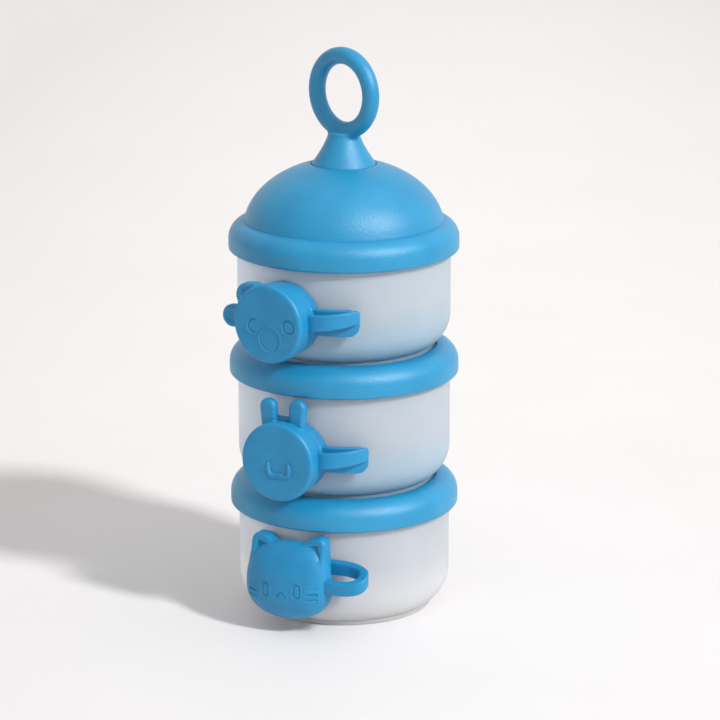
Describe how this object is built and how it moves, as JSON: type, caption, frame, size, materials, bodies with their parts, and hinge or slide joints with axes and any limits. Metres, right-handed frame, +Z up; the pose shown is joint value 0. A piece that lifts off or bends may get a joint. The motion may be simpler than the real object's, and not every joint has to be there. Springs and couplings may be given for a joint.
{
  "type": "milk powder dispenser",
  "caption": "Tower of stacked translucent cups with round-edged lids, animal-face caps on tethered pouring spouts, and a domed top with a finger-ring stopper.",
  "frame": {"origin": "on the tower's axis, at the underside of the lowest cup's foot, where it stands on the table", "axes": "+Z up along the tower's axis; the pouring spouts and their animal faces point to -Y"},
  "size_m": [0.09, 0.1007, 0.2225],
  "materials": {
    "clear_plastic": "frosted translucent polypropylene",
    "blue_plastic": "fine matte texture",
    "blue_silicone": "matte silicone",
    "white_silicone": "matte silicone"
  },
  "bodies": {
    "lower_cup_body": {"lower_cup": "clear_plastic", "cat_collar": "blue_silicone"},
    "cat_cap_body": {"cat_cap": "blue_silicone", "cat_band": "blue_silicone"},
    "lower_lid_body": {"lower_lid": "blue_plastic", "lower_seal": "white_silicone"},
    "middle_cup_body": {"middle_cup": "clear_plastic", "rabbit_collar": "blue_silicone"},
    "rabbit_cap_body": {"rabbit_cap": "blue_silicone", "rabbit_band": "blue_silicone"},
    "middle_lid_body": {"middle_lid": "blue_plastic", "middle_seal": "white_silicone"},
    "upper_cup_body": {"upper_cup": "clear_plastic", "bear_collar": "blue_silicone"},
    "bear_cap_body": {"bear_cap": "blue_silicone", "bear_band": "blue_silicone"},
    "dome_lid_body": {"dome_lid": "blue_plastic", "upper_seal": "white_silicone"},
    "stopper_body": {"ring_stopper": "blue_plastic", "stopper_seal": "white_silicone"}
  },
  "joints": [
    {"name": "lower_lid_lift", "type": "slide", "parent": "lower_cup_body", "child": "lower_lid_body", "axis": [0, 0, 1], "range_m": [0, 0.02]},
    {"name": "middle_cup_lift", "type": "slide", "parent": "lower_lid_body", "child": "middle_cup_body", "axis": [0, 0, 1], "range_m": [0, 0.012]},
    {"name": "middle_lid_lift", "type": "slide", "parent": "middle_cup_body", "child": "middle_lid_body", "axis": [0, 0, 1], "range_m": [0, 0.02]},
    {"name": "upper_cup_lift", "type": "slide", "parent": "middle_lid_body", "child": "upper_cup_body", "axis": [0, 0, 1], "range_m": [0, 0.012]},
    {"name": "dome_lid_lift", "type": "slide", "parent": "upper_cup_body", "child": "dome_lid_body", "axis": [0, 0, 1], "range_m": [0, 0.02]},
    {"name": "stopper_lift", "type": "slide", "parent": "dome_lid_body", "child": "stopper_body", "axis": [0, 0, 1], "range_m": [0, 0.02]},
    {"name": "cat_cap_pull", "type": "slide", "parent": "lower_cup_body", "child": "cat_cap_body", "axis": [0, -1, 0], "range_m": [0, 0.012], "deforming": ["cat_band"]},
    {"name": "rabbit_cap_pull", "type": "slide", "parent": "middle_cup_body", "child": "rabbit_cap_body", "axis": [0, -1, 0], "range_m": [0, 0.012], "deforming": ["rabbit_band"]},
    {"name": "bear_cap_pull", "type": "slide", "parent": "upper_cup_body", "child": "bear_cap_body", "axis": [-0.0715, -0.9974, 0], "range_m": [0, 0.012], "deforming": ["bear_band"]}
  ]
}
